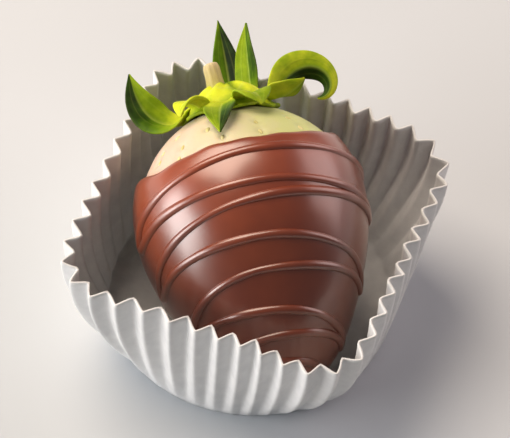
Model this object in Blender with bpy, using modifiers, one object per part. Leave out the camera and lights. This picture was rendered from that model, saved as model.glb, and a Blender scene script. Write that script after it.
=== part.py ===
"""A chocolate coated strawberry that lies in a pleated paper case.

Metres, +Z up. The origin is the middle of the case's flat underside. The leaves point to +Y and
a little to -X, and the berry's tip points to -Y and a little to +X.

The berry is modelled upright, with its calyx at the top, under an empty that lays it down.
"""

from math import atan2, cos, hypot, pi, radians, sin, sqrt

import bmesh
import bpy
from mathutils import Euler, Vector

MM = 0.001

# Clearance between pieces that touch.
GAP = 0.3 * MM

# The berry with its coat on.
BERRY_LENGTH = 46.6 * MM
BERRY_WIDTH = 36.2 * MM
BERRY_TAPER = 0.175  # how much fuller the calyx end is than the tip
OVAL = 0.016  # share of the radius that makes the berry a little oval
OVAL_TURN = 0.7  # radians from the widest direction to local +X
SWELLING = 0.010  # share of the radius in three low swellings, which twist towards the tip
SWELLING_TURN = -1.1
SWELLING_TWIST = 2
SLOPE = 0.05  # share of the radius that the sloping shoulder, on the -X side, falls short
SLOPE_TURN = radians(190)
TIP_LEAN = (1.0 * MM, -0.8 * MM)
BERRY_SEGMENTS = 32
BERRY_RINGS = 20

# The chocolate coat, and how deep below the calyx end its wavy edge lies.
COAT_THICKNESS = 1.4 * MM
DIP_DEPTH = 8.4 * MM
DIP_WAVE = 0.5 * MM
DIP_WAVES = 3
DIP_LEAN = 1.3 * MM  # how much deeper the edge lies on the side that was dipped deepest
DIP_LEAN_TURN = radians(165)

# The flesh lies under the coat, with clearance.
FLESH_DEPTH = COAT_THICKNESS + GAP

# The berry's place in the case: TILT below level at its tip, turned by HEADING from -Y to +X.
TILT = radians(28)
HEADING = radians(35)
CALYX_X = -11.1 * MM
CALYX_Y = 14.4 * MM

# The calyx: a domed collar with the stem on it and the sepals round it.
COLLAR_RADIUS = 5.4 * MM
COLLAR_HEIGHT = 3.4 * MM
COLLAR_SHIFT = 0.3 * MM  # how far the calyx sits off the berry's axis, to its +X side
STEM_SHIFT = -1.2 * MM  # how far the stem's foot sits off the axis
STEM_LENGTH = 4.0 * MM
STEM_RADIUS = 1.3 * MM
STEM_LEAN = -0.3 * MM
SEPAL_THICKNESS = 0.5 * MM
SEPAL_FOLD = 0.25  # rise of a sepal's sides over its middle, as a share of its half width
SEPAL_BASE = 0.16  # where on its outline a sepal starts, so that its base has some width
SEPAL_POINT = 0.08  # width of the blunt point, as a share of the full width
SEPAL_STEPS = 10
SEPAL_COLUMNS = 4

# Each sepal: direction round the stem in degrees, where 270 faces up, length and width in
# millimetres, the slopes in degrees at which it leaves the collar and ends, where it bends most
# (over 1 near its point, under 1 near its base), and its twist in degrees.
SEPALS = (
    (168, 15.2, 7.2, -53, 86, 0.48, -80),
    (215, 6.4, 5.4, 44, -90, 1.3, 0),
    (251, 9.6, 5.2, -16, -58, 1.3, 0),
    (287, 6.0, 6.4, 26, -80, 1.3, 0),
    (3, 17.6, 5.0, 47, -195, 2.3, -90),
    (333, 7.2, 5.8, -4, 44, 1.3, -30),
    (41, 13.6, 4.6, 86, 78, 1.3, 0),
    (75, 15.2, 4.8, 69, 103, 1.3, 8),
    (124, 5.4, 5.0, 5, 30, 1.3, 0),
)

# The paper case: a round disc of paper pleated up from a flat base, its rim pressed square.
CASE_BASE_RADIUS = 22.0 * MM
CASE_WALL = 24.5 * MM  # along the slope
CASE_RIM_HALF = 24.3 * MM
CASE_RIM_CORNER = 8.5 * MM
CASE_BULGE = 1.8  # over 1, the wall spreads more near its foot than near its rim
CASE_PAPER = 0.3 * MM
PLEATS = 46
PLEAT_DEPTH = 2.0 * MM  # crest to trough, at the rim
PLEAT_GROWTH = 0.6  # power with which the depth grows from nothing at the foot
PLEAT_UNEVENNESS = ((0.12, 3), (0.10, 11))  # size, and times round the case, of two ripples
PLEAT_WAVE = (0, 1, 0, -1)  # one pleat's columns: middle, crest, middle, trough
CASE_COLUMNS = PLEATS * len(PLEAT_WAVE)
CASE_ROWS = 4

TINY = 0.001 * MM


# General helpers


def clear_scene():
    for obj in list(bpy.data.objects):
        bpy.data.objects.remove(obj)


def new_collection(name):
    made = bpy.data.collections.new(name)
    bpy.context.scene.collection.children.link(made)
    return made


def new_material(name, colour, roughness):
    made = bpy.data.materials.new(name)
    made.use_nodes = True
    shader = made.node_tree.nodes["Principled BSDF"]
    shader.inputs["Base Color"].default_value = (*colour, 1.0)
    shader.inputs["Roughness"].default_value = roughness
    shader.inputs["Metallic"].default_value = 0.0
    return made


def new_object(name, bm, home, parent=None, finish=None):
    """Makes a smooth-shaded object of a bmesh whose faces already point outwards."""
    mesh = bpy.data.meshes.new(name)
    bm.to_mesh(mesh)
    bm.free()
    mesh.shade_smooth()
    mesh.set_sharp_from_angle(angle=radians(50))
    if finish:
        mesh.materials.append(finish)
    obj = bpy.data.objects.new(name, mesh)
    obj.parent = parent
    home.objects.link(obj)
    return obj


def thicken(obj, thickness, offset):
    modifier = obj.modifiers.new("Thickness", "SOLIDIFY")
    modifier.thickness = thickness
    modifier.offset = offset
    modifier.use_even_offset = True


def cut(obj, cutter):
    cutter.hide_render = True
    cutter.display_type = "WIRE"
    modifier = obj.modifiers.new("Cut_" + cutter.name, "BOOLEAN")
    modifier.operation = "DIFFERENCE"
    modifier.object = cutter
    modifier.solver = "EXACT"


# Berry


def outline(polar):
    """Radius of the berry, as a share, from polar 0 at the calyx to pi at the tip."""
    return sin(polar) * (1 + BERRY_TAPER * cos(pi * (1 - cos(polar)) / 2))


FULLEST = max(outline(pi * step / 200) for step in range(200))


def berry_radius(polar, angle, depth):
    """Distance from the axis to the surface that lies depth under the coat's outside."""
    oval = OVAL * cos(2 * angle + OVAL_TURN)
    swelling = SWELLING * cos(3 * angle + SWELLING_TURN + SWELLING_TWIST * polar)
    slope = SLOPE * max(cos(angle - SLOPE_TURN), 0) ** 2 * cos(polar / 2) ** 2
    share = outline(polar) / FULLEST * (1 + oval + swelling - slope)
    return (BERRY_WIDTH / 2 - depth) * share


def berry_point(polar, angle, depth):
    radius = berry_radius(polar, angle, depth)
    down = (1 - cos(polar)) / 2
    return Vector(
        (
            radius * cos(angle) + TIP_LEAN[0] * down**2,
            radius * sin(angle) + TIP_LEAN[1] * down**2,
            -depth - (BERRY_LENGTH - 2 * depth) * down,
        )
    )


def berry_body(depth):
    """A ball whose every point is moved out to the berry's surface."""
    bm = bmesh.new()
    bmesh.ops.create_uvsphere(
        bm, u_segments=BERRY_SEGMENTS, v_segments=BERRY_RINGS, radius=1.0
    )
    for vert in bm.verts:
        x, y, z = vert.co
        vert.co = berry_point(atan2(hypot(x, y), z), atan2(y, x), depth)
    return bm


def lay_berry_down():
    """An empty that carries the berry, as low in the case as the paper lets it lie."""
    pose = bpy.data.objects.new("berry_pose", None)
    pose.rotation_euler = (TILT - pi / 2, 0, HEADING)
    turn = pose.rotation_euler.to_matrix()
    bm = berry_body(0.0)
    lowest = min((turn @ vert.co).z for vert in bm.verts)
    bm.free()
    pose.location = (CALYX_X, CALYX_Y, CASE_PAPER + GAP - lowest)
    return pose


def make_flesh(home, pose):
    finish = new_material("strawberry_flesh", (0.78, 0.70, 0.45), 0.4)
    return new_object("flesh", berry_body(FLESH_DEPTH), home, pose, finish)


def above_the_dip():
    """A thick disc over the berry, whose wavy underside is where the chocolate stops."""
    bm = bmesh.new()
    bmesh.ops.create_cone(
        bm,
        cap_ends=True,
        cap_tris=True,
        segments=2 * BERRY_SEGMENTS,
        radius1=BERRY_WIDTH,
        radius2=BERRY_WIDTH,
        depth=2.0,
    )
    for vert in bm.verts:
        x, y, z = vert.co
        if z > 0:
            vert.co.z = BERRY_WIDTH
        else:
            # The wave and the lean grow from nothing in the middle, and are full at the skin.
            wave = DIP_WAVE * sin(DIP_WAVES * atan2(y, x))
            lean = DIP_LEAN * cos(atan2(y, x) - DIP_LEAN_TURN)
            vert.co.z = -DIP_DEPTH + (wave - lean) * hypot(x, y) / (BERRY_WIDTH / 2)
    return bm


def make_coat(home, cutters, pose):
    finish = new_material("milk_chocolate", (0.19, 0.062, 0.026), 0.3)
    coat = new_object("chocolate_coat", berry_body(0.0), home, pose, finish)
    cut(coat, new_object("hollow", berry_body(COAT_THICKNESS), cutters, pose))
    cut(coat, new_object("above_the_dip", above_the_dip(), cutters, pose))
    return coat


# Calyx


def make_collar(home, pose, finish):
    """A flat-bottomed dome on top of the flesh: the upper half of a ball, flattened."""
    bm = bmesh.new()
    bmesh.ops.create_uvsphere(bm, u_segments=24, v_segments=8, radius=1.0)
    bmesh.ops.bisect_plane(
        bm,
        geom=[*bm.verts, *bm.edges, *bm.faces],
        dist=0.01,
        plane_co=(0, 0, 0),
        plane_no=(0, 0, 1),
        clear_inner=True,
    )
    bmesh.ops.holes_fill(bm, edges=bm.edges)
    bmesh.ops.scale(bm, verts=bm.verts, vec=(COLLAR_RADIUS, COLLAR_RADIUS, COLLAR_HEIGHT))
    bmesh.ops.translate(bm, verts=bm.verts, vec=(COLLAR_SHIFT, 0, GAP - FLESH_DEPTH))
    return new_object("calyx_collar", bm, home, pose, finish)


def make_stem(home, pose, finish):
    """A short stalk that leans a little and is cut off square."""
    path = bpy.data.curves.new("stem", "CURVE")
    path.dimensions = "3D"
    path.bevel_depth = STEM_RADIUS
    path.bevel_resolution = 3
    path.use_fill_caps = True
    path.materials.append(finish)
    foot = GAP - FLESH_DEPTH + COLLAR_HEIGHT + GAP
    steps = 5
    spline = path.splines.new("POLY")
    spline.points.add(steps)
    for number, point in enumerate(spline.points):
        share = number / steps
        lean = STEM_LEAN * share**2
        point.co = (STEM_SHIFT + lean, 0, foot + STEM_LENGTH * share, 1)
    stem = bpy.data.objects.new("stem", path)
    stem.parent = pose
    home.objects.link(stem)
    return stem


def sepal_spine(length, leaving, ending, bend):
    """The (distance from the axis, height, slope) of each step along a sepal's middle."""
    fine = 20
    run = length / (SEPAL_STEPS * fine)
    out = COLLAR_RADIUS + 2 * GAP
    up = 2 * GAP - FLESH_DEPTH
    spine = []
    for step in range(SEPAL_STEPS * fine + 1):
        share = step / (SEPAL_STEPS * fine)
        bent = share**bend if bend > 1 else 1 - (1 - share) ** (1 / bend)
        slope = leaving + (ending - leaving) * bent
        if step % fine == 0:
            spine.append((out, up, slope))
        out += run * cos(slope)
        up += run * sin(slope)
    return spine


def sepal_width(share):
    """Width of a sepal at a share of its length, from its base to its point."""
    return max(SEPAL_POINT, sin(pi * (SEPAL_BASE + (1 - SEPAL_BASE) * share)))


def make_sepal(name, row, home, pose, finish):
    """A pointed leaf, a little folded along its middle, bent up or down and twisted."""
    direction, length, width, leaving, ending, bend, twist = row
    spine = sepal_spine(length * MM, radians(leaving), radians(ending), bend)
    outwards = Vector((cos(radians(direction)), sin(radians(direction)), 0))
    upwards = Vector((0, 0, 1))
    sideways = upwards.cross(outwards)
    bm = bmesh.new()
    bmesh.ops.create_grid(
        bm, x_segments=SEPAL_STEPS, y_segments=SEPAL_COLUMNS, size=1.0
    )
    for vert in bm.verts:
        share = (vert.co.x + 1) / 2
        out, up, slope = spine[round(share * SEPAL_STEPS)]
        roll = radians(twist) * sin(pi / 2 * share)
        face = upwards * cos(slope) - outwards * sin(slope)
        across = sideways * cos(roll) + face * sin(roll)
        rise = face * cos(roll) - sideways * sin(roll)
        half = width * MM / 2 * sepal_width(share)
        side = half * vert.co.y
        vert.co = across * side + rise * abs(side) * SEPAL_FOLD
        vert.co += outwards * out + upwards * up + Vector((COLLAR_SHIFT, 0, 0))
    sepal = new_object(name, bm, home, pose, finish)
    thicken(sepal, SEPAL_THICKNESS, 0.0)
    return sepal


def make_calyx(home, pose):
    green = new_material("calyx_green", (0.26, 0.37, 0.05), 0.5)
    make_collar(home, pose, green)
    for number, row in enumerate(SEPALS, start=1):
        make_sepal(f"sepal_{number}", row, home, pose, green)
    make_stem(home, pose, new_material("cut_stem", (0.52, 0.46, 0.19), 0.6))


# Paper case


def rim_length():
    return 8 * (CASE_RIM_HALF - CASE_RIM_CORNER) + 2 * pi * CASE_RIM_CORNER


def rim_point(turn):
    """A point of the rounded square that the rim follows, at turn of the way round from +X."""
    straight = CASE_RIM_HALF - CASE_RIM_CORNER
    arc = pi / 2 * CASE_RIM_CORNER
    quarter, along = divmod(turn % 1.0 * rim_length(), 2 * straight + arc)
    if along < straight:
        point = Vector((CASE_RIM_HALF, along, 0))
    elif along < straight + arc:
        angle = (along - straight) / CASE_RIM_CORNER
        point = Vector((straight, straight, 0))
        point += CASE_RIM_CORNER * Vector((cos(angle), sin(angle), 0))
    else:
        point = Vector((2 * straight + arc - along, CASE_RIM_HALF, 0))
    point.rotate(Euler((0, 0, quarter * pi / 2)))
    return point


def wall_point(turn, share):
    """A point of the wall as it would be without pleats, at share of the way up it."""
    foot = Vector((cos(2 * pi * turn), sin(2 * pi * turn), 0)) * CASE_BASE_RADIUS
    rim = rim_point(turn)
    height = sqrt(CASE_WALL**2 - (rim - foot).length_squared)
    point = foot.lerp(rim, 1 - (1 - share) ** CASE_BULGE)
    point.z = height * share
    return point


def case_point(column, share):
    """A point of the pleated wall: its pleats are a little uneven, and deepest at the rim."""
    turn = column / CASE_COLUMNS
    uneven = sum(size * sin(2 * pi * times * turn) for size, times in PLEAT_UNEVENNESS)
    wave = PLEAT_WAVE[column % len(PLEAT_WAVE)] * (1 + uneven)
    step = 0.5 / CASE_COLUMNS
    along = wall_point(turn + step, share) - wall_point(turn - step, share)
    outwards = along.cross(Vector((0, 0, 1))).normalized()
    crest = PLEAT_DEPTH / 2 * share**PLEAT_GROWTH
    return wall_point(turn, share) + outwards * wave * crest


def make_case(home):
    """The pleated wall, wrapped from a flat grid, and the round base that closes its foot."""
    bm = bmesh.new()
    bmesh.ops.create_grid(
        bm, x_segments=CASE_COLUMNS, y_segments=CASE_ROWS, size=1.0
    )
    for vert in bm.verts:
        column = round((vert.co.x + 1) / 2 * CASE_COLUMNS)
        vert.co = case_point(column, max((vert.co.y + 1) / 2, 0))
    bmesh.ops.remove_doubles(bm, verts=bm.verts, dist=TINY)
    foot = [e for e in bm.edges if e.is_boundary and e.verts[0].co.z < TINY]
    base = bmesh.ops.contextual_create(bm, geom=foot)["faces"]
    bmesh.ops.recalc_face_normals(bm, faces=bm.faces)
    if base[0].normal.z > 0:
        bmesh.ops.reverse_faces(bm, faces=bm.faces)
    bmesh.ops.poke(bm, faces=base)
    finish = new_material("white_greaseproof_paper", (0.86, 0.84, 0.80), 0.75)
    case = new_object("paper_case", bm, home, finish=finish)
    thicken(case, CASE_PAPER, -1.0)
    return case


def main():
    clear_scene()
    home = new_collection("chocolate_strawberry")
    cutters = new_collection("cutters")
    make_case(home)
    pose = lay_berry_down()
    home.objects.link(pose)
    make_flesh(home, pose)
    make_coat(home, cutters, pose)
    make_calyx(home, pose)


main()
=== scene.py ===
"""The looks of a chocolate coated strawberry that lies in a pleated paper case.

Metres, +Z up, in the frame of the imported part. The berry is shaped upright, with its calyx end
at the origin and its tip towards -Z, and is then laid where the frame's flesh lies.
"""

from math import acos, asin, atan2, cos, exp, floor, hypot, pi, radians, sin, sqrt
from random import Random

import bmesh
import bpy
from mathutils import Euler, Matrix, Vector, noise


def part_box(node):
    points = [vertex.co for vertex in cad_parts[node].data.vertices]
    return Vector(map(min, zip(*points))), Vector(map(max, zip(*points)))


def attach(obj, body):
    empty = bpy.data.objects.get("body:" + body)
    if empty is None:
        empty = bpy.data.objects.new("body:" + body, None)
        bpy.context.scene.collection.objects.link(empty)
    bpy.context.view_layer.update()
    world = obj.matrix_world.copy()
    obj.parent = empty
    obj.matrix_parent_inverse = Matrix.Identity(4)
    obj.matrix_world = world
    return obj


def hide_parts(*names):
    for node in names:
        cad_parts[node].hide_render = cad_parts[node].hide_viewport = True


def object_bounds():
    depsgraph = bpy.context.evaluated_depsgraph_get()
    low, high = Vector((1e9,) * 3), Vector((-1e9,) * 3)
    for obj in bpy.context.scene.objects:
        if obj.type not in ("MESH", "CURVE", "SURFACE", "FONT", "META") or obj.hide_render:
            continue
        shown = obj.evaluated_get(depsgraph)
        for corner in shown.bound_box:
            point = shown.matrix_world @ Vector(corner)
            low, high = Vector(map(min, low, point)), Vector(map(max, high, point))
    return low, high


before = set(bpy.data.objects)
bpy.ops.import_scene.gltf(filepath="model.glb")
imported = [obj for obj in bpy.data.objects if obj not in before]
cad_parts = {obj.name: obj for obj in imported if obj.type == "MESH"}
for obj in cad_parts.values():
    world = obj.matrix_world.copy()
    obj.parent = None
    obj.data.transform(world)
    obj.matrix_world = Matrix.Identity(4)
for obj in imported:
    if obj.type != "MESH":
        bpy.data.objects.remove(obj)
cad_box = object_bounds()

MM = 0.001
TINY = 0.001 * MM
GAP = 0.3 * MM

# The berry with its coat on, as the frame has it.
BERRY_LENGTH = 46.6 * MM
BERRY_WIDTH = 36.2 * MM
BERRY_TAPER = 0.175
OVAL = 0.016
OVAL_TURN = 0.7
SWELLING = 0.010
SWELLING_TURN = -1.1
SWELLING_TWIST = 2
SLOPE = 0.05
SLOPE_TURN = radians(190)
TIP_LEAN = (1.0 * MM, -0.8 * MM)
FLESH_DEPTH = 1.7 * MM
FRAME_SEGMENTS = 32
FRAME_RINGS = 20
BERRY_TURN = Euler((radians(28 - 90), 0, radians(35))).to_matrix()

# The chocolate coat: its edge runs round the shoulder in three low waves and ends in a lip.
DIP_DEPTH = 8.4 * MM
DIP_WAVE = 0.5 * MM
DIP_WAVES = 3
DIP_LEAN = 1.3 * MM
DIP_LEAN_TURN = radians(165)
DIP_WOBBLE = 0.22 * MM  # smaller unevenness of the edge
DIP_RISE = 0.9 * MM  # how much higher the chocolate reaches in one short wave
DIP_RISE_TURN = radians(238)
LIP_HEIGHT = 1.05 * MM  # how far the lip stands off the bare fruit
LIP_LENGTH = 1.3 * MM  # over how much of the surface the lip rounds over
LIP_REACH = 1.2  # share of that length that the mesh's fine rows cover
COAT_UNEVEN = 0.16 * MM
COAT_UNEVEN_SIZE = 11 * MM
COAT_INSIDE = 1.45 * MM

# The bare shoulder, which swells up to the lip's foot, and its seeds in their pits.
SHOULDER_DEPTH = 12 * MM
FLESH_DROP_START = 0.4 * MM  # how far under the lip the fruit starts to fall clear of the coat
FLESH_DROP_LENGTH = 1.2 * MM  # over how much of the surface it does so
SEED_ROWS = ((4.3, 9, 0.0), (6.0, 12, 0.4), (7.9, 15, 0.1))  # depth in mm, number, turn
SEED_SCATTER = 0.14  # share of the space between two seeds of a row
SEED_DEPTH_SCATTER = 0.3  # mm
SEED_LENGTH = 1.35 * MM
SEED_WIDTH = 0.85 * MM
SEED_HEIGHT = 0.5 * MM
SEED_TAPER = 0.45  # how much narrower a seed is at its point than at its round end
SEED_SIZES = (0.85, 1.1)  # the smallest and the largest, as shares
SEED_SEAT = 0.8  # share of the pit's depth at which a seed's middle lies
PIT_RADIUS = 1.0 * MM
PIT_DEPTH = 0.42 * MM

# The chocolate thread: one line swung from side to side over the berry's upper face in arches.
# Each arch has a (direction in degrees, depth below the calyx end in mm) for its start, its
# crown and its end, where 270 faces up.
THREAD = (
    ((365, 16.5), (270, 10.0), (192, 17.5)),
    ((185, 21.0), (265, 15.0), (330, 19.0)),
    ((350, 22.5), (275, 17.5), (192, 26.0)),
    ((184, 29.0), (262, 23.5), (320, 28.0)),
    ((345, 33.0), (265, 28.5), (212, 32.5)),
    ((190, 36.0), (250, 34.5), (315, 38.0)),
    ((345, 41.0), (265, 38.5), (205, 40.5)),
    ((190, 43.0), (240, 42.0), (318, 44.0)),
)
THREAD_STEPS = 3  # places on each side of an arch's crown
THREAD_WIDTH = 1.45 * MM
THREAD_HEIGHT = 0.62 * MM
THREAD_SINK = 0.12 * MM
THREAD_UNEVEN = 0.3  # share of the thickness in its thick and thin places
THREAD_BEADS = 48  # how many such places a line has
THREAD_END = 1 / 400  # share of the line over which each of its ends rounds off
THREAD_COLUMNS = 900
THREAD_SIDES = 12

# The calyx.
COLLAR_RADIUS = 5.4 * MM
COLLAR_SHIFT = 0.3 * MM
CAP_RADIUS = 7.5 * MM
CAP_LOBES = 9
CAP_LOBE = 0.08  # share of the radius
CAP_THICKNESS = 0.5 * MM
CAP_RIDGE = 0.28 * MM
CAP_RIDGE_TURN = 0.8
CAP_HOLLOW = 0.9 * MM  # depth of the hollow beside the stem
CAP_HOLLOW_TURN = radians(282)
CAP_HOLLOW_WIDTH = 0.3  # radians
CAP_LIFT = 0.35 * MM  # how far the cap's edge stands off the fruit
CAP_RIPPLE = 0.3 * MM  # how much that differs round it, in CAP_RIPPLES waves
CAP_RIPPLES = 5
CAP_CLEARANCE = 0.1 * MM
DOME_RADIUS = 6.7 * MM
DOME_HEIGHT = 3.2 * MM
STEM_FOOT = 1.4 * MM
STEM_SHIFT = -1.2 * MM
STEM_LENGTH = 4.6 * MM
STEM_RADIUS = 1.3 * MM
STEM_LEAN = -0.3 * MM
STEM_FLARE = 0.5  # how much wider the stalk is at its very foot, as a share
STEM_RIBS = 9
STEM_RIB = 0.05  # share of the radius
STEM_WORN = 0.16  # how much narrower the stalk gets just under its cut end, as a share
STEM_CUT = 0.83  # the cut end's radius, as a share
STEM_CUT_RISE = 0.25 * MM
SEPAL_THICKNESS = 0.38 * MM
SEPAL_ROOT_OUT = 3.0 * MM  # each sepal grows from inside the cap, this far from the axis
SEPAL_ROOT_UP = 0.3 * MM
SEPAL_RUFFLE = 0.10  # share of the half width
SEPAL_RUFFLES = 9
MIDRIB_GROOVE = 0.16 * MM
MIDRIB_WIDTH = 0.11  # share of the half width

# Each sepal: direction round the stem in degrees, length and width in mm, the slopes in
# degrees at which it leaves the collar and ends, where it bends most (over 1 near its point,
# under 1 near its base), its twist in degrees, how far its sides fold up and its margins curl
# over as shares of its half width, the tones of its two halves from 0, deep green, to 1, yellow
# green, which hold its own green plus painted light and shade (a lit half and a shaded half),
# and the length in mm over which its yellow base fades.
SEPALS = (
    (168, 15.2, 7.2, -53, 86, 0.48, -80, 0.45, -0.20, 0.55, 0.04, 6.5),
    (215, 6.4, 5.4, 44, -90, 1.3, 0, 0.30, -0.15, 0.95, 0.85, 4.0),
    (251, 9.6, 5.2, -16, -58, 1.3, 0, 0.22, 0.10, 0.60, 0.06, 3.6),
    (287, 6.0, 6.4, 26, -80, 1.3, 0, 0.30, -0.15, 0.66, 0.56, 2.4),
    (3, 17.6, 5.0, 47, -195, 2.3, -90, 0.30, 0.25, 0.80, 0.10, 3.6),
    (333, 7.2, 5.8, -4, 44, 1.3, -30, 0.30, 0.10, 0.80, 0.55, 4.0),
    (41, 13.6, 4.6, 86, 78, 1.3, 0, 0.40, 0.10, 0.25, 0.65, 3.6),
    (75, 15.2, 4.8, 69, 103, 1.3, 8, 0.45, -0.10, 0.00, 0.45, 2.6),
    (124, 5.4, 5.0, 5, 30, 1.3, 0, 0.30, 0.15, 0.45, 0.45, 3.0),
)

# The paper case.
CASE_BASE_RADIUS = 22.0 * MM
CASE_WALL = 24.5 * MM
CASE_RIM_HALF = 24.3 * MM
CASE_RIM_CORNER = 8.5 * MM
CASE_BULGE = 1.8
CASE_PAPER = 0.3 * MM
PLEATS = 46
PLEAT_DEPTH = 2.0 * MM
PLEAT_GROWTH = 0.6
PLEAT_ROUNDING = 0.96  # 1 would fold it to sharp creases
PLEAT_SHARES = (0.82, 1.12)  # the shallowest and the deepest pleat, as shares of the depth
PLEAT_DRIFT = 0.18  # how far the pleats crowd and spread, as a share of one
PLEAT_DRIFTS = 5
PLEAT_COLUMNS = 12
CASE_ROWS = 30
BASE_ROWS = 5
RIM_UNEVEN = 0.35 * MM

# The view.
VIEW_AZIMUTH = radians(17.3)
VIEW_ELEVATION = radians(54.0)
VIEW_ROLL = radians(5.3)
VIEW_DISTANCE = 0.94
VIEW_LENS = 430


# Meshes


def wrap(columns, rows, place):
    """A grid, each of whose points goes to place(share of the way across, share up).

    Its sides and its ends are joined wherever place brings them together.
    """
    bm = bmesh.new()
    bm.loops.layers.uv.new("UVMap")
    bmesh.ops.create_grid(
        bm, x_segments=columns, y_segments=rows, size=1.0, calc_uvs=True
    )
    for vert in bm.verts:
        across = (vert.co.x + 1) / 2
        up = (vert.co.y + 1) / 2
        vert.co = place(min(max(across, 0), 1), min(max(up, 0), 1))
    bmesh.ops.remove_doubles(bm, verts=bm.verts, dist=TINY)
    bmesh.ops.recalc_face_normals(bm, faces=bm.faces)
    return bm


def new_piece(name, bm, finish, node=None, to_frame=None):
    """Makes a piece of the object, which rides on it and may stand for a node of the frame."""
    if to_frame:
        bmesh.ops.transform(bm, matrix=to_frame, verts=bm.verts)
    mesh = bpy.data.meshes.new(name)
    bm.to_mesh(mesh)
    bm.free()
    mesh.shade_smooth()
    mesh.materials.append(finish)
    piece = bpy.data.objects.new(name, mesh)
    bpy.context.scene.collection.objects.link(piece)
    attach(piece, "root")
    if node:
        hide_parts(node)
    return piece


def mark(piece, name, value_at):
    """Keeps value_at(share across, share up) at each of a piece's points, for its material."""
    mesh = piece.data
    spots = mesh.uv_layers[0].uv
    values = [0.0] * len(mesh.vertices)
    for loop in mesh.loops:
        values[loop.vertex_index] = value_at(*spots[loop.index].vector)
    layer = mesh.attributes.new(name, "FLOAT", "POINT")
    layer.data.foreach_set("value", values)


def thicken(piece, thickness, offset):
    modifier = piece.modifiers.new("Thickness", "SOLIDIFY")
    modifier.thickness = thickness
    modifier.offset = offset
    modifier.use_even_offset = True


def subdivide(piece, levels):
    modifier = piece.modifiers.new("Roundness", "SUBSURF")
    modifier.levels = levels
    modifier.render_levels = levels


def smooth_step(value):
    """0 below 0, 1 above 1, with an even turn between them."""
    value = min(max(value, 0), 1)
    return value * value * (3 - 2 * value)


# Berry


def outline(polar):
    """Radius of the berry, as a share, from polar 0 at the calyx to pi at the tip."""
    return sin(polar) * (1 + BERRY_TAPER * cos(pi * (1 - cos(polar)) / 2))


FULLEST = max(outline(pi * step / 200) for step in range(200))


def berry_radius(polar, angle, depth):
    """Distance from the axis to the surface that lies depth under the coat's outside."""
    oval = OVAL * cos(2 * angle + OVAL_TURN)
    swelling = SWELLING * cos(3 * angle + SWELLING_TURN + SWELLING_TWIST * polar)
    slope = SLOPE * max(cos(angle - SLOPE_TURN), 0) ** 2 * cos(polar / 2) ** 2
    share = outline(polar) / FULLEST * (1 + oval + swelling - slope)
    return (BERRY_WIDTH / 2 - depth) * share


def berry_point(polar, angle, depth):
    radius = berry_radius(polar, angle, depth)
    down = (1 - cos(polar)) / 2
    return Vector(
        (
            radius * cos(angle) + TIP_LEAN[0] * down**2,
            radius * sin(angle) + TIP_LEAN[1] * down**2,
            -depth - (BERRY_LENGTH - 2 * depth) * down,
        )
    )


def polar_at(below):
    """The polar angle of the ring that lies this far below the calyx end."""
    return acos(1 - 2 * min(max(below / BERRY_LENGTH, 0), 1))


def find_berry_place():
    """Where the calyx end is in the frame, worked out from where the frame's flesh lies."""
    points = [
        BERRY_TURN
        @ berry_point(pi * ring / FRAME_RINGS, 2 * pi * step / FRAME_SEGMENTS, FLESH_DEPTH)
        for ring in range(FRAME_RINGS + 1)
        for step in range(FRAME_SEGMENTS)
    ]
    low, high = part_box("flesh")
    shift = [
        (low[i] + high[i]) / 2 - (min(p[i] for p in points) + max(p[i] for p in points)) / 2
        for i in range(3)
    ]
    return Vector(shift)


BERRY_TO_FRAME = Matrix.Translation(find_berry_place()) @ BERRY_TURN.to_4x4()


def edge_depth(angle):
    """How far below the calyx end the chocolate's edge lies."""
    wave = DIP_WAVE * sin(DIP_WAVES * angle) - DIP_LEAN * cos(angle - DIP_LEAN_TURN)
    wobble = noise.noise(Vector((cos(angle), sin(angle), 0.3)) * 3.1)
    rise = DIP_RISE * max(cos(angle - DIP_RISE_TURN), 0) ** 12
    return DIP_DEPTH - wave - rise + 2 * DIP_WOBBLE * wobble


def coat_swell(polar, angle):
    """How far the uneven coat stands over its even shape."""
    point = berry_point(polar, angle, 0)
    return COAT_UNEVEN * noise.noise(point / COAT_UNEVEN_SIZE)


def coat_point(polar, angle):
    """The outside of the coat, which rounds over to the fruit at its lip."""
    past_edge = (polar - polar_at(edge_depth(angle))) * BERRY_WIDTH / 2
    rounding = max(1 - past_edge / LIP_LENGTH, 0)
    fall = LIP_HEIGHT * (1 - sqrt(max(1 - rounding**2, 0)))
    return berry_point(polar, angle, fall - coat_swell(polar, angle))


def make_coat(finish):
    """Two skins that meet at the lip: the outside, and the plain inside."""
    lip_rows = 8
    rows = 96
    inner_rows = 30
    columns = 160

    def outside(across, up):
        angle = 2 * pi * across
        start = polar_at(edge_depth(angle))
        row = up * rows
        lip = LIP_REACH * LIP_LENGTH / (BERRY_WIDTH / 2)
        if row < lip_rows:
            return coat_point(start + lip * (1 - cos(row / lip_rows * pi / 2)), angle)
        share = (row - lip_rows) / (rows - lip_rows)
        return coat_point(start + lip + (pi - start - lip) * share, angle)

    def inside(across, up):
        angle = 2 * pi * across
        start = polar_at(edge_depth(angle))
        if up == 0:
            return coat_point(start, angle)
        return berry_point(start + (pi - start) * up, angle, COAT_INSIDE)

    bm = wrap(columns, rows, outside)
    inner = wrap(columns, inner_rows, inside)
    mesh = bpy.data.meshes.new("inner")
    inner.to_mesh(mesh)
    inner.free()
    bm.from_mesh(mesh)
    bpy.data.meshes.remove(mesh)
    bmesh.ops.remove_doubles(bm, verts=bm.verts, dist=TINY)
    bmesh.ops.recalc_face_normals(bm, faces=bm.faces)
    return new_piece(
        "dipped_chocolate_coat", bm, finish, "chocolate_coat", BERRY_TO_FRAME
    )


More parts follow.
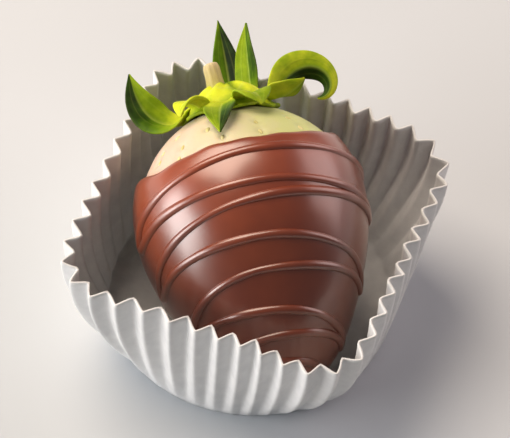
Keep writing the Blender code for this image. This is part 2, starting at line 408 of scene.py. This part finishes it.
def seed_places():
    """The (polar, angle) of each seed on the shoulder."""
    rng = Random(5)
    places = []
    for depth, number, turn in SEED_ROWS:
        for step in range(number):
            angle = 2 * pi * (step + turn + rng.uniform(-SEED_SCATTER, SEED_SCATTER)) / number
            below = depth + rng.uniform(-SEED_DEPTH_SCATTER, SEED_DEPTH_SCATTER)
            places.append((polar_at(below * MM), angle))
    return places


SEEDS = seed_places()
PITS = [berry_point(polar, angle, LIP_HEIGHT) for polar, angle in SEEDS]


def flesh_point(polar, angle):
    """The fruit: under the coat it lies clear of the coat's inside."""
    past_edge = (polar - polar_at(edge_depth(angle))) * BERRY_WIDTH / 2
    covered = smooth_step((past_edge - FLESH_DROP_START) / FLESH_DROP_LENGTH)
    depth = LIP_HEIGHT + (FLESH_DEPTH - LIP_HEIGHT) * covered
    point = berry_point(polar, angle, depth)
    if polar < polar_at(SHOULDER_DEPTH):
        near = min((point - pit).length for pit in PITS)
        depth += PIT_DEPTH * exp(-2 * (near / PIT_RADIUS) ** 2)
        point = berry_point(polar, angle, depth)
    return point


def make_flesh(finish):
    """The fruit, with fine rows on the shoulder, where its pits are, and coarse ones below."""
    shoulder_rows = 46
    rows = 70
    columns = 200
    shoulder = polar_at(SHOULDER_DEPTH)

    def place(across, up):
        row = up * rows
        if row < shoulder_rows:
            polar = shoulder * row / shoulder_rows
        else:
            polar = shoulder + (pi - shoulder) * (row - shoulder_rows) / (rows - shoulder_rows)
        return flesh_point(polar, 2 * pi * across)

    bm = wrap(columns, rows, place)
    flesh = new_piece("strawberry_flesh", bm, finish, "flesh", BERRY_TO_FRAME)
    mark(flesh, "depth_below_calyx", lambda across, up: -place(across, up).z)
    mark(flesh, "side", lambda across, up: place(across, up).x)
    return flesh


def surface_turn(polar, angle, surface):
    """Where surface(polar, angle) is, and the directions down it, round it and out of it."""
    step = 0.002
    here = surface(polar, angle)
    down = (surface(polar + step, angle) - surface(polar - step, angle)).normalized()
    round_it = (surface(polar, angle + step) - surface(polar, angle - step)).normalized()
    return here, down, round_it, round_it.cross(down).normalized() * -1


def make_seeds(finish):
    """Small drop-shaped seeds that sit in their pits with their points towards the tip."""
    bm = bmesh.new()
    rng = Random(9)
    for polar, angle in SEEDS:
        here = berry_point(polar, angle, LIP_HEIGHT + SEED_SEAT * PIT_DEPTH)
        _, down, round_it, out = surface_turn(
            polar, angle, lambda p, a: berry_point(p, a, LIP_HEIGHT)
        )
        size = rng.uniform(*SEED_SIZES)
        made = bmesh.ops.create_icosphere(bm, subdivisions=2, radius=0.5)["verts"]
        for vert in made:
            x, y, z = vert.co
            width = SEED_WIDTH * (1 - SEED_TAPER * (x + 0.5))
            offset = down * x * SEED_LENGTH + round_it * y * width + out * z * SEED_HEIGHT
            vert.co = here + offset * size
    bmesh.ops.recalc_face_normals(bm, faces=bm.faces)
    return new_piece("shoulder_seeds", bm, finish, to_frame=BERRY_TO_FRAME)


def curve_through(points, share):
    """A point on a smooth curve (Catmull-Rom) through points, at share of the way along it."""
    last = len(points) - 1
    span = min(int(share * last), last - 1)
    t = share * last - span
    before, start, end, after = (
        Vector(points[min(max(span + step, 0), last)]) for step in (-1, 0, 1, 2)
    )
    return (
        2 * start
        + (end - before) * t
        + (2 * before - 5 * start + 4 * end - after) * t**2
        + (3 * start - before - 3 * end + after) * t**3
    ) / 2


def arch_places(start, crown, end):
    """Places on an arch that falls away on both sides of its crown as a parabola does."""
    places = []
    for foot, steps in ((start, range(THREAD_STEPS, 0, -1)), (end, range(THREAD_STEPS + 1))):
        for step in steps:
            share = step / THREAD_STEPS
            direction = crown[0] + (foot[0] - crown[0]) * share
            places.append((direction, crown[1] + (foot[1] - crown[1]) * share**2))
    return places


def make_thread(finish):
    """A half-round thread of chocolate that lies on the coat."""
    points = [place for arch in THREAD for place in arch_places(*arch)]
    step = 0.0005

    def place(across, up):
        spot = curve_through(points, across)
        before = curve_through(points, max(across - step, 0))
        ahead = curve_through(points, min(across + step, 1)) - before
        angle = radians(spot.x)
        polar = polar_at(spot.y * MM)
        here, down, round_it, out = surface_turn(polar, angle, coat_point)
        radius = berry_radius(polar, angle, 0)
        along = round_it * radians(ahead.x) * radius + down * ahead.y * MM
        side = along.cross(out).normalized()
        end = min(across, 1 - across) / THREAD_END
        taper = sqrt(1 - (1 - min(end, 1)) ** 2)
        uneven = 1 + THREAD_UNEVEN * noise.noise(Vector((across * THREAD_BEADS, 0.5, 0)))
        width = THREAD_WIDTH / 2 * uneven * taper
        height = THREAD_HEIGHT * uneven * taper
        turn = 2 * pi * up
        return here + side * width * cos(turn) + out * (height * sin(turn) - THREAD_SINK)

    bm = wrap(THREAD_COLUMNS, THREAD_SIDES, place)
    return new_piece("drizzled_thread", bm, finish, to_frame=BERRY_TO_FRAME)


# Calyx


def fruit_height(x, y):
    """Height of the bare fruit's shoulder at a place beside the axis."""
    halvings = 24
    low = 0.0
    high = 1.3
    angle = atan2(y, x)
    for _ in range(halvings):
        middle = (low + high) / 2
        if berry_radius(middle, angle, LIP_HEIGHT) < hypot(x, y):
            low = middle
        else:
            high = middle
    return berry_point(low, angle, LIP_HEIGHT).z


def in_hollow(angle):
    """How near a direction is to the middle of the cap's hollow, from 0 to 1."""
    return exp(-(((angle - CAP_HOLLOW_TURN) / CAP_HOLLOW_WIDTH) ** 2))


def cap_height(out, angle):
    """How far the calyx cap stands over the fruit, from its domed middle to its edge."""
    share = min(out / DOME_RADIUS, 1)
    dome = DOME_HEIGHT * (1 - share**2.6) ** 0.65
    ridges = CAP_RIDGE * cos(CAP_LOBES * angle + CAP_RIDGE_TURN) * sin(pi * share)
    hollow = CAP_HOLLOW * in_hollow(angle) * sin(pi * share) ** 2
    lift = CAP_LIFT + CAP_RIPPLE * sin(CAP_RIPPLES * angle + 2)
    edge = lift * smooth_step((out - 0.7 * CAP_RADIUS) / (0.4 * CAP_RADIUS))
    return CAP_CLEARANCE + dome + ridges - hollow + edge


def make_cap(finish):
    """The fleshy ring that the sepals grow out of: it hugs the fruit and ends in short lobes."""

    def place(across, up):
        angle = 2 * pi * across
        lobes = 0.6 * cos(CAP_LOBES * angle) + 0.4 * cos(4 * angle + 1)
        out = CAP_RADIUS * (1 + CAP_LOBE * lobes) * up
        x = COLLAR_SHIFT + out * cos(angle)
        y = out * sin(angle)
        return Vector((x, y, fruit_height(x, y) + cap_height(out, angle) + CAP_THICKNESS))

    def tone(across, up):
        yellow = 0.45 + 0.55 * smooth_step(up / 0.35)
        green_edge = 0.25 * smooth_step(up * 3 - 2)
        # painted shade: the cap is made darker green in its hollow beside the stem
        painted_hollow_shade = 0.4 * in_hollow(2 * pi * across) * sin(pi * min(up, 1))
        return yellow - green_edge - painted_hollow_shade

    columns = 144
    rows = 26
    bm = wrap(columns, rows, place)
    cap = new_piece("calyx_cap", bm, finish, "calyx_collar", BERRY_TO_FRAME)
    mark(cap, "tone", tone)
    thicken(cap, CAP_THICKNESS, -1.0)
    subdivide(cap, 1)
    return cap


def make_stem(finish):
    """The stub of the stalk: ribbed, wider at its foot, with a rounded, worn cut end."""
    side_rows = 0.8  # share of the rows that make its side, and the rest make its cut end
    worn_from = 0.8  # share of the length

    def place(across, up):
        angle = 2 * pi * across
        if up < side_rows:
            share = up / side_rows
            flare = STEM_FLARE * (1 - share) ** 5
            ribs = 1 + STEM_RIB * cos(STEM_RIBS * angle) * (1 - 0.5 * share)
            worn = STEM_WORN * max((share - worn_from) / (1 - worn_from), 0) ** 2
            radius = STEM_RADIUS * (1 + flare - worn) * ribs
            height = STEM_LENGTH * share
        else:
            share = 1 - (up - side_rows) / (1 - side_rows)
            radius = STEM_RADIUS * share * STEM_CUT
            height = STEM_LENGTH + STEM_CUT_RISE * max(1 - share**2, 0) ** 0.8
        lean = STEM_LEAN * (height / STEM_LENGTH) ** 2
        slope = 2 * STEM_LEAN * height / STEM_LENGTH**2
        along = Vector((slope, 0, 1)).normalized()
        side = Vector((along.z, 0, -along.x))
        point = Vector((STEM_SHIFT + lean, 0, STEM_FOOT + height))
        return point + side * radius * cos(angle) + Vector((0, radius * sin(angle), 0))

    columns = 36
    rows = 30
    bm = wrap(columns, rows, place)
    bmesh.ops.holes_fill(bm, edges=bm.edges)
    bmesh.ops.recalc_face_normals(bm, faces=bm.faces)
    return new_piece("stem_stub", bm, finish, "stem", BERRY_TO_FRAME)


def sepal_spine(length, leaving, ending, bend, steps):
    """The (distance from the axis, height, slope) of each step along a sepal's middle."""
    fine = 20
    run = length / (steps * fine)
    out = COLLAR_RADIUS + 2 * GAP
    up = 2 * GAP - FLESH_DEPTH
    spine = []
    for step in range(steps * fine + 1):
        share = step / (steps * fine)
        bent = share**bend if bend > 1 else 1 - (1 - share) ** (1 / bend)
        slope = leaving + (ending - leaving) * bent
        if step % fine == 0:
            spine.append((out, up, slope))
        out += run * cos(slope)
        up += run * sin(slope)
    return spine


def sepal_half_width(share):
    """Half a sepal's width as a share of its fullest: broad at its base, pointed at its end."""
    return max(sin(pi * (0.2 + 0.8 * share)) ** 0.9 * (1 - 0.25 * share**3), 0.03)


def make_sepal(number, row, finish):
    """A pointed leaf that rises from the cap, with a midrib, curled margins and a wavy edge."""
    direction, length, width, leaving, ending, bend, twist, fold, curl, *tones = row
    first_half_painted_light_tone, second_half_painted_light_tone, yellow = tones
    steps = 40
    lead = 5  # steps inside the cap
    columns = 16
    spine = sepal_spine(length * MM, radians(leaving), radians(ending), bend, steps)
    start_out, start_up, start_slope = spine[0]
    for step in range(lead):
        share = (lead - 1 - step) / lead
        out = SEPAL_ROOT_OUT + (start_out - SEPAL_ROOT_OUT) * share
        up = SEPAL_ROOT_UP + (start_up - SEPAL_ROOT_UP) * share
        spine.insert(0, (out, up, start_slope * share**2))
    outwards = Vector((cos(radians(direction)), sin(radians(direction)), 0))
    upwards = Vector((0, 0, 1))
    sideways = upwards.cross(outwards)
    last = len(spine) - 1

    def place(across, up_share):
        step = round(across * last)
        share = max((step - lead) / steps, 0)
        out, up, slope = spine[step]
        roll = radians(twist) * sin(pi / 2 * share)
        face = upwards * cos(slope) - outwards * sin(slope)
        side_way = sideways * cos(roll) + face * sin(roll)
        rise_way = face * cos(roll) - sideways * sin(roll)
        half = width * MM / 2 * sepal_half_width(share)
        if step < lead:
            half *= 0.75 + 0.25 * step / lead
        place_across = 2 * up_share - 1
        off = abs(place_across)
        ruffle = SEPAL_RUFFLE * sin(SEPAL_RUFFLES * share + number) * off**3
        rise = half * (fold * off + curl * off**4 + ruffle)
        rise -= MIDRIB_GROOVE * exp(-((place_across / MIDRIB_WIDTH) ** 2)) * (1 - share)
        spot = side_way * half * place_across + rise_way * rise
        return spot + outwards * out + upwards * up + Vector((COLLAR_SHIFT, 0, 0))

    def tone(across, up_share):
        share = max((across * last - lead) / steps, 0)
        base = exp(-((share * length / yellow) ** 2))
        # painted light and shade: one half of the sepal gets a lighter tone and the other a
        # darker one
        body = first_half_painted_light_tone + (second_half_painted_light_tone - first_half_painted_light_tone) * smooth_step(4 * (up_share - 0.5) + 0.5)
        tip = 0.15 * smooth_step(3 * share - 2)
        return body + (0.95 - body) * base + tip

    bm = wrap(last, columns, place)
    sepal = new_piece(
        f"calyx_leaf_{number}", bm, finish, f"sepal_{number}", BERRY_TO_FRAME
    )
    mark(sepal, "tone", tone)
    thicken(sepal, SEPAL_THICKNESS, 0.0)
    subdivide(sepal, 1)
    return sepal


# Paper case


def rim_length():
    return 8 * (CASE_RIM_HALF - CASE_RIM_CORNER) + 2 * pi * CASE_RIM_CORNER


def rim_point(turn):
    """A point of the rounded square that the rim follows, at turn of the way round from +X."""
    straight = CASE_RIM_HALF - CASE_RIM_CORNER
    arc = pi / 2 * CASE_RIM_CORNER
    quarter, along = divmod(turn % 1.0 * rim_length(), 2 * straight + arc)
    if along < straight:
        point = Vector((CASE_RIM_HALF, along, 0))
    elif along < straight + arc:
        angle = (along - straight) / CASE_RIM_CORNER
        point = Vector((straight, straight, 0))
        point += CASE_RIM_CORNER * Vector((cos(angle), sin(angle), 0))
    else:
        point = Vector((2 * straight + arc - along, CASE_RIM_HALF, 0))
    point.rotate(Euler((0, 0, quarter * pi / 2)))
    return point


def wall_point(turn, share):
    """A point of the wall as it would be without pleats, at share of the way up it."""
    foot = Vector((cos(2 * pi * turn), sin(2 * pi * turn), 0)) * CASE_BASE_RADIUS
    rim = rim_point(turn)
    height = sqrt(CASE_WALL**2 - (rim - foot).length_squared)
    point = foot.lerp(rim, 1 - (1 - share) ** CASE_BULGE)
    point.z = height * share
    return point


def make_case(finish):
    """A flat round base and the pleated wall round it, each pleat a little different."""
    rng = Random(3)
    depths = [rng.uniform(*PLEAT_SHARES) for _ in range(2 * PLEATS)]
    heights = [rng.uniform(-1, 1) for _ in range(PLEATS)]
    columns = PLEATS * PLEAT_COLUMNS
    rows = BASE_ROWS + CASE_ROWS

    def place(across, up):
        row = up * rows
        turn = across % 1.0
        if row < BASE_ROWS:
            way = Vector((cos(2 * pi * turn), sin(2 * pi * turn), 0))
            return way * CASE_BASE_RADIUS * row / BASE_ROWS
        share = (row - BASE_ROWS) / CASE_ROWS
        pleat = turn * PLEATS + PLEAT_DRIFT * sin(2 * pi * PLEAT_DRIFTS * turn)
        wave = asin(PLEAT_ROUNDING * sin(2 * pi * pleat)) / asin(PLEAT_ROUNDING)
        wave *= depths[floor(2 * pleat) % (2 * PLEATS)]
        step = 0.5 / columns
        along = wall_point(turn + step, share) - wall_point(turn - step, share)
        outwards = along.cross(Vector((0, 0, 1))).normalized()
        crest = PLEAT_DEPTH / 2 * share**PLEAT_GROWTH
        point = wall_point(turn, share) + outwards * wave * crest
        number = floor(pleat)
        blend = smooth_step(pleat - number)
        first = heights[number % PLEATS]
        second = heights[(number + 1) % PLEATS]
        point.z += RIM_UNEVEN * (first + (second - first) * blend) * share**3
        return point

    bm = wrap(columns, rows, place)
    base = min(bm.faces, key=lambda face: face.calc_center_median().length)
    if base.normal.z > 0:
        bmesh.ops.reverse_faces(bm, faces=bm.faces)
    case = new_piece("pleated_paper_case", bm, finish, "paper_case")
    thicken(case, CASE_PAPER, -1.0)
    return case


# Materials

CHOCOLATE_PAINTED_LIGHT_FADE = 20 * MM  # how far below its lip the painted light on the chocolate fades into painted shade


def linear(hex_colour):
    """The linear colour of an sRGB hex value such as "#7a4028"."""
    channels = [int(hex_colour[i : i + 2], 16) / 255 for i in (1, 3, 5)]
    return (
        *(c / 12.92 if c <= 0.04045 else ((c + 0.055) / 1.055) ** 2.4 for c in channels),
        1.0,
    )


def add(tree, kind, settings=None, inputs=None):
    """Adds a node. Each input is fed by another node's output, or set to a plain value."""
    made = tree.nodes.new("ShaderNode" + kind)
    for name, value in (settings or {}).items():
        setattr(made, name, value)
    for name, value in (inputs or {}).items():
        if isinstance(value, bpy.types.NodeSocket):
            tree.links.new(value, made.inputs[name])
        else:
            made.inputs[name].default_value = value
    return made


def new_material(name):
    material = bpy.data.materials.new(name)
    material.use_nodes = True
    material.node_tree.nodes.clear()
    return material, material.node_tree


def finish_material(tree, shader):
    add(tree, "OutputMaterial", inputs={"Surface": shader.outputs["BSDF"]})


def set_ramp(ramp, stops):
    """Sets a colour ramp's stops from (position, sRGB hex) pairs."""
    elements = ramp.color_ramp.elements
    while len(elements) < len(stops):
        elements.new(0.5)
    for element, (position, colour) in zip(elements, stops):
        element.position = position
        element.color = linear(colour)


def per_mm(size):
    """The scale at which a pattern on Object coordinates repeats about every size mm."""
    return 1 / (size * MM)


def milk_chocolate():
    """Milk chocolate, dipped and set in air: a soft gloss over warm brown, faintly uneven.

    Its brown is painted lighter near its lip and darker towards the tip: painted light on its
    top and painted shade lower down.
    """
    material, tree = new_material("dipped_milk_chocolate")
    place = add(tree, "TexCoord").outputs["Object"]
    tone = add(tree, "TexNoise", inputs={"Vector": place, "Scale": per_mm(9), "Detail": 3})
    colour = add(tree, "ValToRGB", inputs={"Fac": tone.outputs["Fac"]})
    set_ramp(colour, ((0.3, "#642813"), (0.7, "#78351a")))
    axis = BERRY_TO_FRAME.to_3x3() @ Vector((0, 0, -1))
    along = add(tree, "VectorMath", {"operation": "DOT_PRODUCT"}, {0: place, 1: axis})
    lip = BERRY_TO_FRAME.translation.dot(axis) + DIP_DEPTH
    # painted light and shade: the brown is brightened near the lip and darkened towards the tip
    painted_light_by_height = add(
        tree,
        "MapRange",
        {"interpolation_type": "SMOOTHSTEP"},
        {
            "Value": along.outputs["Value"],
            "From Min": lip,
            "From Max": lip + CHOCOLATE_PAINTED_LIGHT_FADE,
            "To Min": 1.6,
            "To Max": 0.95,
        },
    )
    shaded = add(
        tree,
        "HueSaturation",
        inputs={"Value": painted_light_by_height.outputs["Result"], "Color": colour.outputs["Color"]},
    )
    gloss = add(tree, "TexNoise", inputs={"Vector": place, "Scale": per_mm(3), "Detail": 4})
    rough = add(
        tree,
        "MapRange",
        inputs={"Value": gloss.outputs["Fac"], "To Min": 0.26, "To Max": 0.36},
    )
    slow = add(tree, "TexNoise", inputs={"Vector": place, "Scale": per_mm(5), "Detail": 1})
    waves = add(
        tree,
        "Bump",
        inputs={"Height": slow.outputs["Fac"], "Strength": 1.0, "Distance": 0.12 * MM},
    )
    grain = add(tree, "TexNoise", inputs={"Vector": place, "Scale": per_mm(0.5), "Detail": 2})
    skin = add(
        tree,
        "Bump",
        inputs={
            "Height": grain.outputs["Fac"],
            "Strength": 1.0,
            "Distance": 0.006 * MM,
            "Normal": waves.outputs["Normal"],
        },
    )
    shader = add(
        tree,
        "BsdfPrincipled",
        inputs={
            "Base Color": shaded.outputs["Color"],
            "Roughness": rough.outputs["Result"],
            "IOR": 1.5,
            "Coat Weight": 1.0,
            "Coat IOR": 1.6,
            "Coat Roughness": 0.28,
            "Subsurface Weight": 0.06,
            "Subsurface Radius": (1.0, 0.4, 0.2),
            "Subsurface Scale": 0.5 * MM,
            "Normal": skin.outputs["Normal"],
        },
    )
    finish_material(tree, shader)
    return material


def unripe_flesh():
    """A strawberry's pale shoulder: firm, moist skin that goes from cream to pale green."""
    material, tree = new_material("strawberry_shoulder_skin")
    place = add(tree, "TexCoord").outputs["Object"]
    side = add(tree, "Attribute", {"attribute_name": "side"})
    blotch = add(tree, "TexNoise", inputs={"Vector": place, "Scale": per_mm(4), "Detail": 3})
    lean = add(
        tree,
        "MapRange",
        inputs={"Value": side.outputs["Fac"], "From Min": -12 * MM, "From Max": 12 * MM},
    )
    mixed = add(
        tree,
        "Math",
        {"operation": "MULTIPLY_ADD"},
        {0: blotch.outputs["Fac"], 1: 0.5, 2: lean.outputs["Result"]},
    )
    pale = add(tree, "ValToRGB", inputs={"Fac": mixed.outputs["Value"]})
    set_ramp(pale, ((0.25, "#d4baa6"), (0.6, "#d2c6a6"), (1.0, "#c8ce8e")))
    depth = add(tree, "Attribute", {"attribute_name": "depth_below_calyx"})
    ripe = add(
        tree,
        "MapRange",
        {"interpolation_type": "SMOOTHSTEP"},
        {"Value": depth.outputs["Fac"], "From Min": 9 * MM, "From Max": 13 * MM},
    )
    colour = add(
        tree,
        "Mix",
        {"data_type": "RGBA"},
        {
            "Factor": ripe.outputs["Result"],
            "A": pale.outputs["Color"],
            "B": linear("#c23a2c"),
        },
    )
    pores = add(tree, "TexNoise", inputs={"Vector": place, "Scale": per_mm(0.6), "Detail": 2})
    skin = add(
        tree,
        "Bump",
        inputs={"Height": pores.outputs["Fac"], "Strength": 1.0, "Distance": 0.03 * MM},
    )
    shader = add(
        tree,
        "BsdfPrincipled",
        inputs={
            "Base Color": colour.outputs[2],
            "Roughness": 0.36,
            "IOR": 1.4,
            "Subsurface Weight": 0.25,
            "Subsurface Radius": (1.0, 0.8, 0.4),
            "Subsurface Scale": 1.2 * MM,
            "Normal": skin.outputs["Normal"],
        },
    )
    finish_material(tree, shader)
    return material


def seed_husk():
    """The dry husk of a strawberry's seed: straw-coloured, paler than the ripe fruit's."""
    material, tree = new_material("strawberry_seed_husk")
    place = add(tree, "TexCoord").outputs["Object"]
    tone = add(tree, "TexNoise", inputs={"Vector": place, "Scale": per_mm(1.2)})
    colour = add(tree, "ValToRGB", inputs={"Fac": tone.outputs["Fac"]})
    set_ramp(colour, ((0.35, "#c4bd7a"), (0.65, "#ddd49c")))
    shader = add(
        tree,
        "BsdfPrincipled",
        inputs={"Base Color": colour.outputs["Color"], "Roughness": 0.45, "IOR": 1.45},
    )
    finish_material(tree, shader)
    return material


def sepal_leaf():
    """Fresh strawberry leaf: waxy green, yellow where it grows out of the cap, faint veins."""
    material, tree = new_material("strawberry_leaf")
    coordinates = add(tree, "TexCoord")
    place = coordinates.outputs["Object"]
    own = add(tree, "SeparateXYZ", inputs={"Vector": coordinates.outputs["UV"]})
    tone = add(tree, "Attribute", {"attribute_name": "tone"})
    blotch = add(tree, "TexNoise", inputs={"Vector": place, "Scale": per_mm(2.2), "Detail": 4})
    shift = add(
        tree,
        "MapRange",
        inputs={"Value": blotch.outputs["Fac"], "To Min": -0.28, "To Max": 0.28},
    )
    blotched = add(
        tree,
        "Math",
        {"operation": "ADD", "use_clamp": True},
        {0: tone.outputs["Fac"], 1: shift.outputs["Result"]},
    )
    # the tone attribute holds painted light and shade as well as the leaf's own yellow and green
    body = add(tree, "ValToRGB", inputs={"Fac": blotched.outputs["Value"]})
    deep = ((0.0, "#122102"), (0.25, "#2f4e07"), (0.5, "#5c7e0d"))
    yellow = ((0.75, "#90a81a"), (1.0, "#cad42e"))
    set_ramp(body, deep + yellow)
    spread = add(
        tree,
        "Math",
        {"operation": "MULTIPLY"},
        {0: own.outputs["Y"], 1: 8.0},
    )
    to_vein = add(
        tree,
        "Math",
        {"operation": "PINGPONG"},
        {0: spread.outputs["Value"], 1: 1.0},
    )
    vein = add(
        tree,
        "MapRange",
        {"interpolation_type": "SMOOTHSTEP"},
        {"Value": to_vein.outputs["Value"], "From Max": 0.35, "To Min": 1.0, "To Max": 0.0},
    )
    off_middle = add(
        tree,
        "Math",
        {"operation": "SUBTRACT"},
        {0: own.outputs["Y"], 1: 0.5},
    )
    from_middle = add(tree, "Math", {"operation": "ABSOLUTE"}, {0: off_middle.outputs["Value"]})
    midrib = add(
        tree,
        "MapRange",
        {"interpolation_type": "SMOOTHSTEP"},
        {
            "Value": from_middle.outputs["Value"],
            "From Min": 0.01,
            "From Max": 0.09,
            "To Min": 1.0,
            "To Max": 0.0,
        },
    )
    faint = add(tree, "Math", {"operation": "MULTIPLY"}, {0: vein.outputs["Result"], 1: 0.05})
    strong = add(
        tree,
        "Math",
        {"operation": "MULTIPLY_ADD"},
        {0: midrib.outputs["Result"], 1: 0.2, 2: faint.outputs["Value"]},
    )
    colour = add(
        tree,
        "Mix",
        {"data_type": "RGBA"},
        {
            "Factor": strong.outputs["Value"],
            "A": body.outputs["Color"],
            "B": linear("#c3cf62"),
        },
    )
    relief = add(
        tree,
        "Bump",
        inputs={"Height": vein.outputs["Result"], "Strength": 0.5, "Distance": 0.05 * MM},
    )
    cells = add(tree, "TexNoise", inputs={"Vector": place, "Scale": per_mm(0.6), "Detail": 3})
    skin = add(
        tree,
        "Bump",
        inputs={
            "Height": cells.outputs["Fac"],
            "Strength": 1.0,
            "Distance": 0.05 * MM,
            "Normal": relief.outputs["Normal"],
        },
    )
    shader = add(
        tree,
        "BsdfPrincipled",
        inputs={
            "Base Color": colour.outputs[2],
            "Roughness": 0.5,
            "IOR": 1.36,
            "Specular IOR Level": 0.22,
            "Subsurface Weight": 0.12,
            "Subsurface Radius": (0.6, 1.0, 0.2),
            "Subsurface Scale": 0.5 * MM,
            "Normal": skin.outputs["Normal"],
        },
    )
    finish_material(tree, shader)
    return material


def cut_stalk():
    """A cut strawberry stalk: pale green, ribbed and fibrous, drying to cream at the cut."""
    material, tree = new_material("cut_strawberry_stalk")
    coordinates = add(tree, "TexCoord")
    own = add(tree, "SeparateXYZ", inputs={"Vector": coordinates.outputs["UV"]})
    stretch = add(
        tree,
        "Mapping",
        inputs={"Vector": coordinates.outputs["UV"], "Scale": (26, 2.5, 1)},
    )
    fibres = add(tree, "TexNoise", inputs={"Vector": stretch.outputs["Vector"], "Scale": 1.0})
    shade = add(
        tree,
        "MapRange",
        inputs={"Value": fibres.outputs["Fac"], "To Min": 0.75, "To Max": 1.25},
    )
    along = add(tree, "ValToRGB", inputs={"Fac": own.outputs["Y"]})
    side = ((0.0, "#989c40"), (0.35, "#b2a466"), (0.76, "#c2b182"))
    cut = ((0.84, "#d2c49a"), (1.0, "#b09c6a"))
    set_ramp(along, side + cut)
    colour = add(
        tree,
        "HueSaturation",
        inputs={"Value": shade.outputs["Result"], "Color": along.outputs["Color"]},
    )
    skin = add(
        tree,
        "Bump",
        inputs={"Height": fibres.outputs["Fac"], "Strength": 1.0, "Distance": 0.08 * MM},
    )
    shader = add(
        tree,
        "BsdfPrincipled",
        inputs={
            "Base Color": colour.outputs["Color"],
            "Roughness": 0.6,
            "IOR": 1.42,
            "Subsurface Weight": 0.15,
            "Subsurface Radius": (1.0, 0.9, 0.4),
            "Subsurface Scale": 0.8 * MM,
            "Normal": skin.outputs["Normal"],
        },
    )
    finish_material(tree, shader)
    return material


def greaseproof_paper():
    """White greaseproof paper, pressed into pleats: matt, faintly cloudy, lets light through."""
    material, tree = new_material("white_greaseproof_paper")
    place = add(tree, "TexCoord").outputs["Object"]
    cloud = add(tree, "TexNoise", inputs={"Vector": place, "Scale": per_mm(2.2), "Detail": 5})
    colour = add(tree, "ValToRGB", inputs={"Fac": cloud.outputs["Fac"]})
    set_ramp(colour, ((0.3, "#ced0d2"), (0.7, "#dadcdd")))
    fibres = add(tree, "TexNoise", inputs={"Vector": place, "Scale": per_mm(0.45), "Detail": 3})
    surface = add(
        tree,
        "Bump",
        inputs={"Height": fibres.outputs["Fac"], "Strength": 1.0, "Distance": 0.03 * MM},
    )
    shader = add(
        tree,
        "BsdfPrincipled",
        inputs={
            "Base Color": colour.outputs["Color"],
            "Roughness": 0.62,
            "IOR": 1.45,
            "Subsurface Weight": 0.15,
            "Subsurface Radius": (1.0, 0.97, 0.92),
            "Subsurface Scale": 0.8 * MM,
            "Normal": surface.outputs["Normal"],
        },
    )
    finish_material(tree, shader)
    return material


def studio_floor():
    """A plain pale floor: matt painted board."""
    material, tree = new_material("pale_painted_board")
    place = add(tree, "TexCoord").outputs["Object"]
    cloud = add(tree, "TexNoise", inputs={"Vector": place, "Scale": per_mm(60), "Detail": 2})
    colour = add(tree, "ValToRGB", inputs={"Fac": cloud.outputs["Fac"]})
    set_ramp(colour, ((0.3, "#c6ccd2"), (0.7, "#cad0d6")))
    shader = add(
        tree,
        "BsdfPrincipled",
        inputs={"Base Color": colour.outputs["Color"], "Roughness": 0.8},
    )
    finish_material(tree, shader)
    return material


# Studio


def direction_of(azimuth, elevation):
    """The unit vector towards an azimuth, 0 at -Y and growing towards +X, and an elevation."""
    return Vector(
        (
            sin(azimuth) * cos(elevation),
            -cos(azimuth) * cos(elevation),
            sin(elevation),
        )
    )


def make_floor():
    bm = bmesh.new()
    bmesh.ops.create_grid(bm, x_segments=1, y_segments=1, size=1.5)
    mesh = bpy.data.meshes.new("floor")
    bm.to_mesh(mesh)
    bm.free()
    mesh.materials.append(studio_floor())
    floor_object = bpy.data.objects.new("floor", mesh)
    bpy.context.scene.collection.objects.link(floor_object)


# Each soft light: azimuth and elevation in degrees, distance, width and height in metres, power
# and tint.
LIGHTS = {
    "window": (-55, 11, 0.7, 0.54, 0.32, 5.0, "#fffaf6"),
    "back_left": (-112, 56, 0.8, 0.6, 0.6, 8.0, "#ffecd8"),
    "back_right": (134, 22, 0.8, 0.7, 0.5, 2.8, "#ffe6e2"),
}


def make_lights(target):
    for name, (azimuth, elevation, distance, width, height, power, tint) in LIGHTS.items():
        light = bpy.data.lights.new(name, "AREA")
        light.shape = "RECTANGLE"
        light.size = width
        light.size_y = height
        light.energy = power
        light.color = linear(tint)[:3]
        lamp = bpy.data.objects.new(name, light)
        way = direction_of(radians(azimuth), radians(elevation))
        lamp.location = target + way * distance
        lamp.rotation_euler = way.to_track_quat("Z", "Y").to_euler()
        bpy.context.scene.collection.objects.link(lamp)
    world = bpy.data.worlds.new("soft_room")
    world.use_nodes = True
    background = world.node_tree.nodes["Background"]
    background.inputs["Color"].default_value = linear("#f4f5f8")
    background.inputs["Strength"].default_value = 0.14
    bpy.context.scene.world = world


def make_camera(target):
    camera = bpy.data.cameras.new("camera")
    camera.lens = VIEW_LENS
    camera.clip_start = 0.01
    camera.clip_end = 10
    holder = bpy.data.objects.new("camera", camera)
    way = direction_of(VIEW_AZIMUTH, VIEW_ELEVATION)
    turn = way.to_track_quat("Z", "Y") @ Euler((0, 0, VIEW_ROLL)).to_quaternion()
    holder.rotation_euler = turn.to_euler()
    holder.location = target + way * VIEW_DISTANCE
    bpy.context.scene.collection.objects.link(holder)
    bpy.context.scene.camera = holder


def main():
    chocolate = milk_chocolate()
    make_case(greaseproof_paper())
    make_flesh(unripe_flesh())
    make_seeds(seed_husk())
    make_coat(chocolate)
    make_thread(chocolate)
    leaf = sepal_leaf()
    make_cap(leaf)
    for number, row in enumerate(SEPALS, start=1):
        make_sepal(number, row, leaf)
    make_stem(cut_stalk())
    make_floor()
    low, high = (Vector(corner) for corner in cad_box)
    middle = (low + high) / 2
    make_lights(middle)
    make_camera(middle)
    bpy.context.scene.view_settings.view_transform = "Standard"


main()
